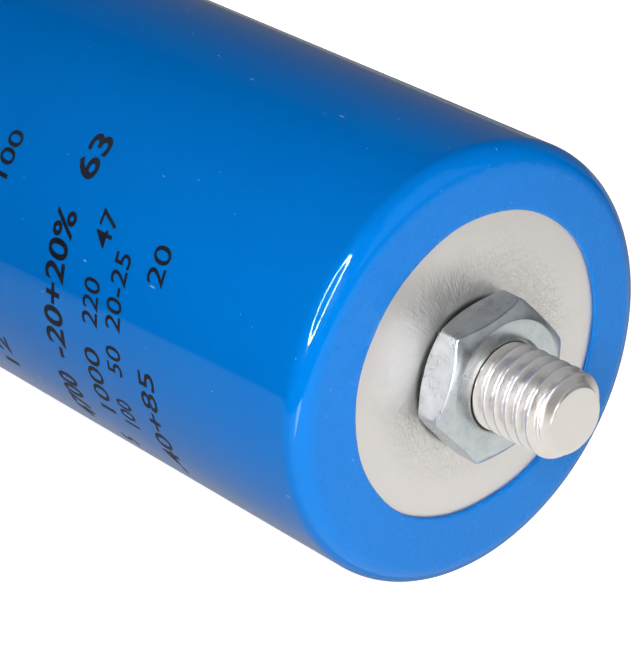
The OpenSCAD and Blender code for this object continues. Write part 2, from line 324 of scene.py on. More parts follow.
def rounded(corners):
    """Points along an outline whose corners are (x, radius, fillet), with fillets as arcs."""
    points = []
    for i, (x, r, fillet) in enumerate(corners):
        here = Vector((x, r))
        if fillet <= 0 or i in (0, len(corners) - 1):
            points.append((x, r))
            continue
        before = (Vector(corners[i - 1][:2]) - here).normalized()
        after = (Vector(corners[i + 1][:2]) - here).normalized()
        half = before.angle(after) / 2
        reach = fillet / math.tan(half)
        centre = here + (before + after).normalized() * (fillet / math.sin(half))
        first, last = here + before * reach - centre, here + after * reach - centre
        steps = max(2, round(math.degrees(math.pi - 2 * half) / 9))
        for k in range(steps + 1):
            spoke = first.lerp(last, k / steps).normalized() * fillet
            points.append(tuple(centre + spoke))
    return points


def spaced(points, step):
    """The same outline with no stretch longer than step."""
    out = [points[0]]
    for (x, r), (next_x, next_r) in zip(points, points[1:]):
        parts = max(1, math.ceil(math.dist((x, r), (next_x, next_r)) / step))
        for k in range(1, parts + 1):
            out.append((x + (next_x - x) * k / parts, r + (next_r - r) * k / parts))
    return out


def turned(name, rings, materials, angle, material_of=None, centre=(0, 0), sharp=40):
    """A closed surface of rings round X. A ring is (x, radius), each a number or one for each angle."""
    steps = len(angle)
    verts = [
        np.stack([
            np.broadcast_to(x, steps),
            centre[0] - np.broadcast_to(r, steps) * np.sin(angle),
            centre[1] + np.broadcast_to(r, steps) * np.cos(angle),
        ], 1)
        for x, r in rings
    ]
    quads, marks = [], []
    for j in range(len(rings) - 1):
        for i in range(steps):
            k = (i + 1) % steps
            quads.append([j * steps + i, j * steps + k, (j + 1) * steps + k, (j + 1) * steps + i])
            marks.append(material_of(j) if material_of else 0)
    closed = np.allclose(verts[0], verts[-1])
    if not closed:
        quads += [list(range(steps)), list(range((len(rings) - 1) * steps, len(rings) * steps))[::-1]]
        marks += [marks[0], marks[-1]]
    mesh = bpy.data.meshes.new(name)
    mesh.from_pydata(np.concatenate(verts) * MM, [], quads)
    for material in materials:
        mesh.materials.append(material)
    mesh.polygons.foreach_set("material_index", marks)
    work = bmesh.new()
    work.from_mesh(mesh)
    if closed:
        bmesh.ops.remove_doubles(work, verts=work.verts, dist=1e-7)
    bmesh.ops.recalc_face_normals(work, faces=work.faces)
    work.to_mesh(mesh)
    work.free()
    mesh.shade_smooth()
    mesh.set_sharp_from_angle(angle=math.radians(sharp))
    made = bpy.data.objects.new(name, mesh)
    bpy.context.collection.objects.link(made)
    made.modifiers.new("flat_faces_stay_flat", "WEIGHTED_NORMAL").keep_sharp = True
    return made


def drawn_aluminium():
    """Drawn and pressed aluminium: dull warm grey, with flow marks that run out from the centre."""
    material, tree = empty_material("drawn_aluminium")
    place = node(tree, "ShaderNodeTexCoord").outputs["Object"]
    axes = node(tree, "ShaderNodeSeparateXYZ", links={0: place})
    turn = node(
        tree, "ShaderNodeMath", {"operation": "ARCTAN2"},
        {0: axes.outputs["Y"], 1: axes.outputs["Z"]},
    )
    reach = node(tree, "ShaderNodeVectorMath", {"operation": "LENGTH"}, {0: place})
    polar = node(
        tree, "ShaderNodeCombineXYZ", links={"X": turn.outputs[0], "Y": reach.outputs["Value"]}
    )
    # flow marks: about 0.3 mm wide half way out, and 4 to 5 mm long
    flow_place = node(
        tree, "ShaderNodeMapping", {"Scale": (30, 220, 1)}, {"Vector": polar.outputs[0]}
    )
    flow = node(
        tree, "ShaderNodeTexNoise", {"Scale": 1.0, "Detail": 4.0, "Roughness": 0.65},
        {"Vector": flow_place.outputs[0]},
    )
    # orange-peel left by the press, about 0.7 mm, and deeper where the metal flowed to the stud
    peel = node(
        tree, "ShaderNodeTexNoise", {"Scale": 1400.0, "Detail": 4.0, "Roughness": 0.65},
        {"Vector": place},
    )
    worked = node(
        tree, "ShaderNodeMapRange",
        {
            "interpolation_type": "SMOOTHSTEP", "From Min": 8.5 * MM, "From Max": 12.5 * MM,
            "To Min": 1.0, "To Max": 0.16,
        },
        {"Value": reach.outputs["Value"]},
    )
    both = node(
        tree, "ShaderNodeMath", {"operation": "MULTIPLY_ADD", 1: 0.6},
        {0: flow.outputs["Fac"], 2: peel.outputs["Fac"]},
    )
    bump = node(
        tree, "ShaderNodeBump", {"Distance": 0.16 * MM},
        {"Height": both.outputs[0], "Strength": worked.outputs["Result"]},
    )
    # clouds of slightly different dullness, about 5 mm across
    cloud = node(
        tree, "ShaderNodeTexNoise", {"Scale": 220.0, "Detail": 4.0}, {"Vector": place}
    )
    tone = node(
        tree, "ShaderNodeMapRange", {"From Min": 0.3, "From Max": 0.7, "To Min": 0.34, "To Max": 0.48},
        {"Value": cloud.outputs["Fac"]},
    )
    colour = node(
        tree, "ShaderNodeMix",
        {"data_type": "RGBA", 6: linear("#DBD7D3"), 7: linear("#E6E3E0")},
        {0: cloud.outputs["Fac"]},
    )
    # painted shade: a dark ring on the base in the corner that the nut's bevel leaves round it, where
    # shade falls
    painted_corner_shade = node(
        tree, "ShaderNodeMapRange",
        {
            "interpolation_type": "SMOOTHSTEP", "From Min": 6.35 * MM, "From Max": 6.95 * MM,
            "To Min": 0.85, "To Max": 0.0,
        },
        {"Value": reach.outputs["Value"]},
    )
    # the base colour with the painted shade ring mixed in near the nut
    colour_with_painted_shade = node(
        tree, "ShaderNodeMix", {"data_type": "RGBA", 7: linear("#4B4A49")},
        {0: painted_corner_shade.outputs["Result"], 6: colour.outputs[2]},
    )
    shade = node(
        tree, "ShaderNodeBsdfPrincipled", {"Metallic": 1.0},
        {
            "Base Color": colour_with_painted_shade.outputs[2], "Roughness": tone.outputs["Result"],
            "Normal": bump.outputs[0],
        },
    )
    node(tree, "ShaderNodeOutputMaterial", links={"Surface": shade.outputs[0]})
    return material


def rolled_aluminium():
    """Rolled thread: the rollers burnish the crests bright and drag fine marks along the helix."""
    material, tree = empty_material("rolled_aluminium_thread")
    place = node(tree, "ShaderNodeTexCoord").outputs["Object"]
    # drag marks: about 0.17 mm apart along the axis, long round the thread, and drawn coarser
    # than the real ones so that they show
    drag_place = node(tree, "ShaderNodeMapping", {"Scale": (6000, 500, 500)}, {"Vector": place})
    drag = node(
        tree, "ShaderNodeTexNoise", {"Scale": 1.0, "Detail": 2.0}, {"Vector": drag_place.outputs[0]}
    )
    bump = node(
        tree, "ShaderNodeBump", {"Strength": 0.8, "Distance": 0.05 * MM},
        {"Height": drag.outputs["Fac"]},
    )
    cloud = node(tree, "ShaderNodeTexNoise", {"Scale": 900.0, "Detail": 3.0}, {"Vector": place})
    tone = node(
        tree, "ShaderNodeMapRange", {"From Min": 0.3, "From Max": 0.7, "To Min": 0.3, "To Max": 0.42},
        {"Value": cloud.outputs["Fac"]},
    )
    colour = node(
        tree, "ShaderNodeMix",
        {"data_type": "RGBA", 6: linear("#DCD8D3"), 7: linear("#E9E6E2")},
        {0: cloud.outputs["Fac"]},
    )
    shade = node(
        tree, "ShaderNodeBsdfPrincipled", {"Metallic": 1.0},
        {
            "Base Color": colour.outputs[2], "Roughness": tone.outputs["Result"],
            "Normal": bump.outputs[0],
        },
    )
    node(tree, "ShaderNodeOutputMaterial", links={"Surface": shade.outputs[0]})
    return material


can_low, can_high = [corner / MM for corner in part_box("can")]
sleeve_low, sleeve_high = [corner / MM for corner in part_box("sleeve")]
nut_low, nut_high = [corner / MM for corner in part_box("hex_nut")]
BASE_X, TIP_X, NUT_X = nut_low.x, can_high.x, nut_high.x
CAN_R = can_high.z - 0.01
WALL, BASE_T, EDGE_R, GROOVE_R, CURL_R = 0.8, 2.5, 1.65, 1.4, 1.5
GROOVE_X = BASE_X - 60.49
CURL_X, MOUTH_X = can_low.x + CURL_R, can_low.x + 0.01
STUD_R, PITCH, TIP_R, TIP_TAPER = 4.0, 1.25, 2.85, 1.3
CREST_R = STUD_R - 0.02
ENGAGED_R, NUT_SINK = 3.58, 0.5
THREAD_START, THREAD_DEPTH, RING_STEP = 0.806, 0.58 * PITCH, 0.045
# half of the flat on a crest, as a part of the pitch, and a 60 degree thread's flank
CREST_HALF, FLANK = 1 / 13, math.tan(math.radians(60))
# soft limits at the crest and at the root stand for the rollers' radii
SOFT_CREST, SOFT_ROOT = 0.015, 0.04
# how the tapered end's outline bends, and how deep the thread starts on it and how it fades
TIP_BEND, TAPER_DEPTH, TAPER_FADE = 1.4, 0.95, 0.25
# a flat end closes at its middle with one small face of this radius
CENTRE_R = 0.05


def thread_radius(x, angle):
    """Radius of the rolled thread at x and angle, with rounded crest and root."""
    turn = (x - THREAD_START) / PITCH - angle / (2 * math.pi)
    off = np.abs((turn + 0.5) % 1 - 0.5)
    depth = (off - CREST_HALF) * PITCH * FLANK
    depth = SOFT_CREST * np.log1p(np.exp(np.clip(depth / SOFT_CREST, -40, 40)))
    depth = THREAD_DEPTH - SOFT_ROOT * np.log1p(np.exp((THREAD_DEPTH - depth) / SOFT_ROOT))
    return CREST_R - np.clip(depth, 0, THREAD_DEPTH)


STUD_STEPS = 192
around = np.arange(STUD_STEPS) * 2 * math.pi / STUD_STEPS
stud_rings = []
for x in np.arange(BASE_X, TIP_X - 0.06, RING_STEP):
    radius = thread_radius(x, around)
    if x < NUT_X - NUT_SINK:
        # inside the nut the two threads engage out of sight, so the stud keeps within its bore
        radius = np.minimum(radius, ENGAGED_R)
    elif x < NUT_X:
        freed = ENGAGED_R + (STUD_R - ENGAGED_R) * (x - NUT_X + NUT_SINK) / NUT_SINK
        radius = np.minimum(radius, freed)
    elif x > TIP_X - TIP_TAPER:
        # the thread fades down the taper, where the blank had no metal to fill the rollers
        along = (x - TIP_X + TIP_TAPER) / TIP_TAPER
        cone = CREST_R - (STUD_R - TIP_R) * along ** TIP_BEND
        faded = cone - (CREST_R - radius) * TAPER_DEPTH * (1 - along) ** TAPER_FADE
        radius = np.maximum(np.minimum(radius, faded), TIP_R - 0.1)
    stud_rings.append((x, radius))
# the broken edge round the stud's end, then the flat end
tip_edge = rounded([(TIP_X - 0.2, TIP_R + 0.17, 0), (TIP_X, TIP_R - 0.03, 0.12), (TIP_X, 2.2, 0)])
stud_rings += tip_edge[1:] + [(TIP_X, r) for r in (1.5, 0.8, CENTRE_R)]
# base, side, rolled groove, curled mouth, then back up the inside, which follows the groove
body_outline = spaced(rounded([
    (BASE_X, stud_rings[0][1].mean(), 0),
    (BASE_X, CAN_R, EDGE_R),
    (GROOVE_X + GROOVE_R, CAN_R, 0.3),
    (GROOVE_X + 0.5, CAN_R - GROOVE_R, 0.9),
    (GROOVE_X - 0.5, CAN_R - GROOVE_R, 0.9),
    (GROOVE_X - GROOVE_R, CAN_R, 0.3),
    (MOUTH_X, CAN_R, CURL_R),
    (MOUTH_X, CAN_R - 2 * CURL_R, CURL_R - 0.01),
    (CURL_X, CAN_R - 2 * CURL_R, 0),
    (CURL_X, CAN_R - 2 * CURL_R + WALL, 0),
    (CURL_X, CAN_R - WALL, 0),
    (GROOVE_X - 1.84, CAN_R - WALL, 0.8),
    (GROOVE_X - 0.94, CAN_R - WALL - GROOVE_R, 1.2),
    (GROOVE_X + 0.94, CAN_R - WALL - GROOVE_R, 1.2),
    (GROOVE_X + 1.84, CAN_R - WALL, 0.8),
    (BASE_X - BASE_T, CAN_R - WALL, 1.0),
    (BASE_X - BASE_T, CENTRE_R, 0),
]), 3.0)
can_rings = stud_rings[::-1] + body_outline[1:]
stud_count = len(stud_rings) - 1
can = turned(
    "can_with_stud", can_rings, [drawn_aluminium(), rolled_aluminium()], around,
    material_of=lambda j: 1 if j < stud_count else 0,
)
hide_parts("can")
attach(can, "root")

# ---------------------------------------------------------------------------
# Inside the can. A fibre disc and a plastic plug centre the roll at the base. The roll is
# aluminium foil and paper, taped shut and wrapped in paper, and its tabs rise to the terminals.


def grained(name, dark, light, scale, roughness, bump_mm, metallic=0.0, ior=1.5):
    """Colour, roughness and bump that follow one noise; scale is in grains a metre, per axis."""
    material, tree = empty_material(name)
    place = node(tree, "ShaderNodeTexCoord").outputs["Object"]
    stretched = node(tree, "ShaderNodeMapping", {"Scale": scale}, {"Vector": place})
    grain = node(
        tree, "ShaderNodeTexNoise", {"Scale": 1.0, "Detail": 4.0, "Roughness": 0.6},
        {"Vector": stretched.outputs[0]},
    )
    level = node(
        tree, "ShaderNodeMapRange", {"From Min": 0.3, "From Max": 0.7}, {"Value": grain.outputs["Fac"]}
    )
    colour = node(
        tree, "ShaderNodeMix", {"data_type": "RGBA", 6: linear(dark), 7: linear(light)},
        {0: level.outputs["Result"]},
    )
    tone = node(
        tree, "ShaderNodeMapRange", {"To Min": roughness[0], "To Max": roughness[1]},
        {"Value": level.outputs["Result"]},
    )
    bump = node(
        tree, "ShaderNodeBump", {"Strength": 0.4, "Distance": bump_mm * MM},
        {"Height": grain.outputs["Fac"]},
    )
    shade = node(
        tree, "ShaderNodeBsdfPrincipled", {"Metallic": metallic, "IOR": ior},
        {
            "Base Color": colour.outputs[2], "Roughness": tone.outputs["Result"],
            "Normal": bump.outputs[0],
        },
    )
    node(tree, "ShaderNodeOutputMaterial", links={"Surface": shade.outputs[0]})
    return material


def finish_node(name, material):
    """Gives a carried-over CAD piece its finish."""
    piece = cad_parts[name]
    for place in piece.material_slots:
        place.material = material


# pressed fibre board, mottled at about 1 mm
fibre = grained("vulcanised_fibre", "#B9A98C", "#D8CBB0", (900, 900, 900), (0.65, 0.8), 0.03)
finish_node("base_disc", fibre)
finish_node("top_disc", fibre)
# moulded polypropylene, faintly milky, in clouds of about 2.5 mm
finish_node(
    "centring_plug",
    grained("moulded_polypropylene", "#E4E1DA", "#F2F0EA", (400, 400, 400), (0.35, 0.45), 0.01),
)
# paper and foil edges: turns too thin to show are drawn 0.3 mm apart
finish_node(
    "winding", grained("paper_and_foil_roll", "#A58B63", "#CBB68F", (300, 3300, 3300), (0.6, 0.75), 0.03)
)
# polyester film over a paper-coloured roll, with wind marks round it about 0.7 mm apart
finish_node(
    "closing_tape", grained("polyester_tape", "#C9BC86", "#DDD2A2", (1500, 120, 120), (0.2, 0.35), 0.01)
)
# kraft paper, with fibres about 1.4 mm long
finish_node(
    "insulating_wrap", grained("kraft_paper", "#C5A878", "#DCC497", (1800, 700, 700), (0.7, 0.85), 0.02)
)
# rolled foil strip: fine lines along the strip, 0.2 mm apart
tab_strip = grained(
    "rolled_aluminium_strip", "#CFCFCD", "#E6E6E4", (400, 5000, 800), (0.25, 0.4), 0.005, metallic=1.0
)
for name in ("anode_tab_upper", "anode_tab_lower", "cathode_tab_upper", "cathode_tab_lower"):
    finish_node(name, tab_strip)
# stamped washers, tumbled smooth, which leaves a mottle of about 0.7 mm
washer_metal = grained(
    "stamped_aluminium", "#C8C8C6", "#DEDEDC", (1500, 1500, 1500), (0.3, 0.45), 0.01, metallic=1.0
)
finish_node("positive_washer", washer_metal)
finish_node("negative_washer", washer_metal)

# ---------------------------------------------------------------------------
# Cover. A disc moulded in black phenolic, with a boss round each terminal and raised marks
# for plus and minus. The can's rim holds it down on a rubber ring. A rubber plug is its vent.


def softened(name, node_name, material, bevel_mm):
    """A copy of a CAD piece with its edges broken, which stands for it."""
    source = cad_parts[node_name]
    mesh = source.data.copy()
    mesh.name = name
    work = bmesh.new()
    work.from_mesh(mesh)
    bmesh.ops.remove_doubles(work, verts=work.verts, dist=1e-6)
    bmesh.ops.dissolve_limit(
        work, angle_limit=math.radians(0.5), verts=work.verts, edges=work.edges
    )
    bmesh.ops.dissolve_degenerate(work, edges=work.edges, dist=1e-6)
    work.to_mesh(mesh)
    work.free()
    mesh.materials.clear()
    mesh.materials.append(material)
    piece = bpy.data.objects.new(name, mesh)
    bpy.context.collection.objects.link(piece)
    bevel = piece.modifiers.new("broken_edges", "BEVEL")
    bevel.width = bevel_mm * MM
    bevel.segments = 2
    bevel.limit_method = "ANGLE"
    bevel.angle_limit = math.radians(35)
    bevel.use_clamp_overlap = True
    bevel.harden_normals = True
    mesh.shade_smooth()
    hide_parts(node_name)
    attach(piece, "root")
    return piece


# moulded phenolic: near black, slightly glossy, with a faint flow mottle of about 0.5 mm
phenolic = grained("moulded_phenolic", "#1B1A19", "#262422", (2200, 2200, 2200), (0.32, 0.45), 0.01)
cover = softened("moulded_cover", "cover", phenolic, 0.15)
# moulded rubber: matt grey-black with a fine bloom, in patches of about 0.6 mm
rubber = grained("moulded_rubber", "#202122", "#313233", (1600, 1600, 1600), (0.6, 0.75), 0.015)
plug = softened("relief_plug", "vent_plug", rubber, 0.1)
finish_node("sealing_ring", rubber)

# ---------------------------------------------------------------------------
# Terminals. Turned from aluminium bar, drilled and tapped M5, put through the cover and
# riveted over a washer and the eyes of the tabs.


def turned_aluminium(off_axis_mm):
    """Turned bar: tool marks 0.1 mm apart, which ring the faces and circle the sides."""
    material, tree = empty_material("turned_aluminium")
    place = node(tree, "ShaderNodeTexCoord").outputs["Object"]
    axes = node(tree, "ShaderNodeSeparateXYZ", links={0: place})
    sideways = node(tree, "ShaderNodeMath", {"operation": "ABSOLUTE"}, {0: axes.outputs["Y"]})
    from_axis = node(
        tree, "ShaderNodeMath", {"operation": "SUBTRACT", 1: off_axis_mm * MM}, {0: sideways.outputs[0]}
    )
    flat = node(
        tree, "ShaderNodeCombineXYZ", links={"X": from_axis.outputs[0], "Y": axes.outputs["Z"]}
    )
    reach = node(tree, "ShaderNodeVectorMath", {"operation": "LENGTH"}, {0: flat.outputs[0]})
    feed = node(
        tree, "ShaderNodeMath", {"operation": "ADD"}, {0: reach.outputs["Value"], 1: axes.outputs["X"]}
    )
    track = node(
        tree, "ShaderNodeMath", {"operation": "MULTIPLY", 1: 10000.0}, {0: feed.outputs[0]}
    )
    marks = node(
        tree, "ShaderNodeTexNoise", {"noise_dimensions": "1D", "Scale": 1.0, "Detail": 2.0},
        {"W": track.outputs[0]},
    )
    # handling dulls it in patches of about 1 mm
    handling = node(tree, "ShaderNodeTexNoise", {"Scale": 900.0, "Detail": 4.0}, {"Vector": place})
    bump = node(
        tree, "ShaderNodeBump", {"Strength": 0.4, "Distance": 0.004 * MM},
        {"Height": marks.outputs["Fac"]},
    )
    colour = node(
        tree, "ShaderNodeMix",
        {"data_type": "RGBA", 6: linear("#D6D4D0"), 7: linear("#E6E4E0")},
        {0: marks.outputs["Fac"]},
    )
    tone = node(
        tree, "ShaderNodeMapRange", {"From Min": 0.3, "From Max": 0.7, "To Min": 0.28, "To Max": 0.36},
        {"Value": handling.outputs["Fac"]},
    )
    shade = node(
        tree, "ShaderNodeBsdfPrincipled", {"Metallic": 1.0},
        {
            "Base Color": colour.outputs[2], "Roughness": tone.outputs["Result"],
            "Normal": bump.outputs[0],
        },
    )
    node(tree, "ShaderNodeOutputMaterial", links={"Surface": shade.outputs[0]})
    return material


TERMINAL_Y = (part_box("positive_terminal")[0].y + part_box("positive_terminal")[1].y) / 2 / MM
turned_bar = turned_aluminium(abs(TERMINAL_Y))
BOSS_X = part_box("cover")[0].x / MM
WASHER_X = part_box("positive_washer")[1].x / MM
HEAD_R, SHANK_R, RIVET_R, RIVET_H, HEAD_BEVEL, BROKEN = 5.0, 3.5, 4.2, 0.8, 0.4, 0.06
SCREW_PITCH, SCREW_CORE_R, SCREW_OUT_R, SCREW_DEPTH, SCREW_SINK = 0.8, 2.07, 2.48, 9.5, 0.5
# the tap's plain end and run-out, half of the flat on a crest, and the rings' spacing
TAP_PLAIN, TAP_RUN_OUT, TAP_CREST_HALF, TAP_STEP = 0.6, 0.8, 1 / 16, 0.05
MOUTH_LIP = 0.1
DRILL_ANGLE = math.radians(59)
TERMINAL_STEPS = 96
terminal_around = np.arange(TERMINAL_STEPS) * 2 * math.pi / TERMINAL_STEPS
TERMINALS = [("terminal_plus", "positive_terminal"), ("terminal_minus", "negative_terminal")]
terminals = []
for name, node_name in TERMINALS:
    low, high = [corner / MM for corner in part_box(node_name)]
    face_x, rivet_x = low.x + 0.005, high.x - 0.005
    hole_x = face_x + SCREW_DEPTH
    drill_point = SCREW_CORE_R / math.tan(DRILL_ANGLE)
    rings = [(hole_x + drill_point, CENTRE_R), (hole_x, SCREW_CORE_R)]
    for x in np.arange(hole_x - TAP_PLAIN, face_x + MOUTH_LIP, -TAP_STEP):
        # a tapped thread: a sharp crest inwards, cut away towards the mouth by the countersink
        turn = x / SCREW_PITCH - terminal_around / (2 * math.pi)
        off = np.abs((turn + 0.5) % 1 - 0.5)
        cut = (off - TAP_CREST_HALF) * SCREW_PITCH * FLANK
        cut = np.clip(cut, 0, SCREW_OUT_R - SCREW_CORE_R)
        fade = min(1, (hole_x - TAP_PLAIN - x) / TAP_RUN_OUT)
        sink = SCREW_CORE_R + max(0, SCREW_SINK - (x - face_x))
        rings.append((x, np.maximum(SCREW_CORE_R + cut * fade, sink)))
    # countersink, face, side, then the shank through the boss, and the riveted end
    rings += rounded([
        (face_x + MOUTH_LIP, SCREW_CORE_R + SCREW_SINK - MOUTH_LIP, 0),
        (face_x, SCREW_CORE_R + SCREW_SINK, BROKEN),
        (face_x, HEAD_R - HEAD_BEVEL, BROKEN),
        (face_x + HEAD_BEVEL, HEAD_R - 0.01, BROKEN * 2),
        (BOSS_X - 0.01, HEAD_R - 0.01, BROKEN),
        (BOSS_X - 0.01, SHANK_R, 0),
        (WASHER_X, SHANK_R, 0),
        (WASHER_X + 0.01, RIVET_R - 0.01, BROKEN),
        (WASHER_X + RIVET_H / 2, RIVET_R - 0.01, 0.3),
        (rivet_x, RIVET_R - RIVET_H / 2, 0.3),
        (rivet_x, CENTRE_R, 0),
    ])
    middle = ((low.y + high.y) / 2, (low.z + high.z) / 2)
    piece = turned(name, rings, [turned_bar], terminal_around, centre=middle)
    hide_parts(node_name)
    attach(piece, "root")
    terminals.append(piece)

# ---------------------------------------------------------------------------
# Sleeve. Blue PVC film, 0.35 mm thick, shrunk on over the whole can. It draws itself down
# into the groove and laps over both ends, so its cut edge on the base isn't quite round.


def blue_film():
    """Shrunk PVC film: deep blue and glossy, faintly wavy, with dust and fine scratches."""
    material, tree = empty_material("shrunk_pvc_film")
    place = node(tree, "ShaderNodeTexCoord").outputs["Object"]
    # the shrink leaves soft waves about 12 mm long and a finer peel of about 1.5 mm
    waves = node(tree, "ShaderNodeTexNoise", {"Scale": 80.0, "Detail": 1.0}, {"Vector": place})
    peel = node(tree, "ShaderNodeTexNoise", {"Scale": 650.0, "Detail": 2.0}, {"Vector": place})
    wave_bump = node(
        tree, "ShaderNodeBump", {"Strength": 0.5, "Distance": 0.03 * MM},
        {"Height": waves.outputs["Fac"]},
    )
    peel_bump = node(
        tree, "ShaderNodeBump", {"Strength": 0.2, "Distance": 0.003 * MM},
        {"Height": peel.outputs["Fac"], "Normal": wave_bump.outputs[0]},
    )
    # dust: specks of about 0.13 mm, one to every 60 square millimetres or so
    dust_cell = node(tree, "ShaderNodeTexVoronoi", {"Scale": 500.0}, {"Vector": place})
    near = node(
        tree, "ShaderNodeMath", {"operation": "LESS_THAN", 1: 0.032},
        {0: dust_cell.outputs["Distance"]},
    )
    # scratches: about 0.15 mm wide and 0.7 mm long
    long_place = node(
        tree, "ShaderNodeMapping", {"Scale": (0.22, 1, 1), "Rotation": (0.2, 0.5, 0.9)},
        {"Vector": place},
    )
    scratch_cell = node(
        tree, "ShaderNodeTexVoronoi", {"Scale": 600.0}, {"Vector": long_place.outputs[0]}
    )
    thin = node(
        tree, "ShaderNodeMath", {"operation": "LESS_THAN", 1: 0.045},
        {0: scratch_cell.outputs["Distance"]},
    )
    marks = node(
        tree, "ShaderNodeMath", {"operation": "MAXIMUM"}, {0: near.outputs[0], 1: thin.outputs[0]}
    )
    shown = node(tree, "ShaderNodeMath", {"operation": "MULTIPLY", 1: 0.4}, {0: marks.outputs[0]})
    tint = node(
        tree, "ShaderNodeMix",
        {"data_type": "RGBA", 6: linear("#0075D2"), 7: linear("#007BDA")},
        {0: waves.outputs["Fac"]},
    )
    colour = node(
        tree, "ShaderNodeMix", {"data_type": "RGBA", 7: linear("#CFDDF0")},
        {0: shown.outputs[0], 6: tint.outputs[2]},
    )
    tone = node(
        tree, "ShaderNodeMapRange", {"From Min": 0.3, "From Max": 0.7, "To Min": 0.05, "To Max": 0.11},
        {"Value": peel.outputs["Fac"]},
    )
    # the lap over the base was pressed flat while warm, which dulled it
    axes = node(tree, "ShaderNodeSeparateXYZ", links={0: place})
    pressed = node(
        tree, "ShaderNodeMapRange",
        {"From Min": -0.2 * MM, "From Max": -0.04 * MM, "To Min": 0.0, "To Max": 0.2},
        {"Value": axes.outputs["X"]},
    )
    dulled = node(
        tree, "ShaderNodeMath", {"operation": "ADD"},
        {0: tone.outputs["Result"], 1: pressed.outputs["Result"]},
    )
    shade = node(
        tree, "ShaderNodeBsdfPrincipled", {"IOR": 1.5, "Specular Tint": linear("#B4EAFF")},
        {
            "Base Color": colour.outputs[2], "Roughness": dulled.outputs[0],
            "Normal": peel_bump.outputs[0],
        },
    )
    node(tree, "ShaderNodeOutputMaterial", links={"Surface": shade.outputs[0]})
    return material


FILM_T, FILM_R = 0.35, sleeve_high.z - 0.015
# the film's outer faces at the base and at the rim, and its inner face on the base
FACE_X, RIM_X, UNDER_X = sleeve_high.x - 0.01, sleeve_low.x, BASE_X + 0.005
BORE_R = CAN_R + 0.02
LAP_START_R, EDGE, EDGE_CLEAR = 15.2, 0.12, 0.45
# the opening round the bare base: its size and how far it lies off centre
OPENING_R, OPENING_Y, OPENING_Z = 13.98, 0.36, 0.12
# the film shrank a little further over the base on the underside
SAG, SAG_WIDTH = 0.45, math.radians(35)
LAP_R = 17.15
SLEEVE_STEPS = 256
sleeve_around = np.arange(SLEEVE_STEPS) * 2 * math.pi / SLEEVE_STEPS
out_y, out_z = -np.sin(sleeve_around), np.cos(sleeve_around)
toward = OPENING_Y * out_y + OPENING_Z * out_z
across = OPENING_Y * out_z - OPENING_Z * out_y
opening = toward + np.sqrt(OPENING_R ** 2 - across ** 2)
opening -= SAG * np.exp(-((sleeve_around - math.pi) / SAG_WIDTH) ** 2)
opening += 0.04 * np.sin(5 * sleeve_around + 1) + 0.025 * np.sin(11 * sleeve_around)
outer = rounded([
    (FACE_X, LAP_START_R, 0),
    (FACE_X, FILM_R, EDGE_R + FILM_T),
    (GROOVE_X + 1.25, FILM_R, 0.65),
    (GROOVE_X + 0.33, FILM_R - 1.4, 0.57),
    (GROOVE_X - 0.33, FILM_R - 1.4, 0.57),
    (GROOVE_X - 1.25, FILM_R, 0.65),
    (RIM_X + 0.01, FILM_R, CURL_R + FILM_T),
    (RIM_X + 0.01, LAP_R + 0.4, 0),
])
inner = rounded([
    (RIM_X + FILM_T, LAP_R + 0.4, 0),
    (RIM_X + FILM_T, BORE_R, CURL_R),
    (GROOVE_X - GROOVE_R + 0.02, BORE_R, 0.32),
    (GROOVE_X - 0.48, BORE_R - GROOVE_R, 0.85),
    (GROOVE_X + 0.48, BORE_R - GROOVE_R, 0.85),
    (GROOVE_X + GROOVE_R - 0.02, BORE_R, 0.32),
    (UNDER_X, BORE_R, EDGE_R),
    (UNDER_X, LAP_START_R, 0),
])
# the two cut edges, a little rounded
base_edge = [
    (FACE_X, opening + EDGE_CLEAR), (FACE_X, opening + EDGE),
    (FACE_X - EDGE * 0.3, opening + EDGE * 0.3), (FACE_X - EDGE, opening),
    (BASE_X + 0.08, opening), (UNDER_X, opening + 0.05), (UNDER_X, opening + EDGE_CLEAR),
]
rim_edge = [
    (RIM_X + 0.01, LAP_R + 0.1), (RIM_X + 0.04, LAP_R + 0.02), (RIM_X + 0.12, LAP_R),
    (RIM_X + FILM_T - 0.05, LAP_R), (RIM_X + FILM_T, LAP_R + 0.06),
]
sleeve_rings = spaced(outer, 2.5) + rim_edge + spaced(inner, 2.5) + base_edge[::-1]
sleeve_rings.append(sleeve_rings[0])
sleeve = turned("shrunk_sleeve", sleeve_rings, [blue_film()], sleeve_around, sharp=50)
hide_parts("sleeve")
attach(sleeve, "root")

# ---------------------------------------------------------------------------
# Print. Plain numbers rolled on in dark ink round the sleeve. They stand for the ratings
# that such a can carries, and read with their feet towards the stud.


def stamped_ink():
    """Rolled-on ink: blue-black and half matt, thinner in patches of about half a millimetre."""
    return grained(
        "stamped_ink", "#060B16", "#101B30", (1800, 1800, 1800), (0.4, 0.55), 0.004, ior=1.35
    )


